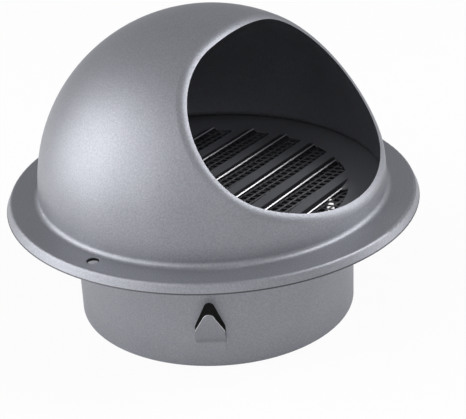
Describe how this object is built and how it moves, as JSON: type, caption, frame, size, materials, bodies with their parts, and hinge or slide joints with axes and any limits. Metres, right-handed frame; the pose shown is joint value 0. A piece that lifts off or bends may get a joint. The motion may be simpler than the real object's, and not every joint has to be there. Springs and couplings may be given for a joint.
{
  "type": "weather grille",
  "caption": "Ball-shaped wall vent: domed hood with a side mouth and flat flange over a louvred plate with insect mesh, on a duct collar with spring barbs.",
  "frame": {"origin": "on the collar's axis, in the plane of the wall, where the rim of the flange ends", "axes": "+Z out of the wall along the collar's axis, -Y towards the mouth, X through the two screw holes"},
  "size_m": [0.18, 0.18, 0.1332],
  "materials": {
    "grey_coat": "satin grey powder coat with a fine metallic grain",
    "plate_coat": "satin grey powder coat, thin on the cut edges",
    "mesh_metal": "dull grey expanded metal",
    "collar_coat": "satin grey powder coat with a fine metallic grain"
  },
  "bodies": {
    "root": {"hood": "grey_coat", "louvre_plate": "plate_coat", "insect_mesh": "mesh_metal", "collar": "collar_coat"}
  },
  "joints": []
}
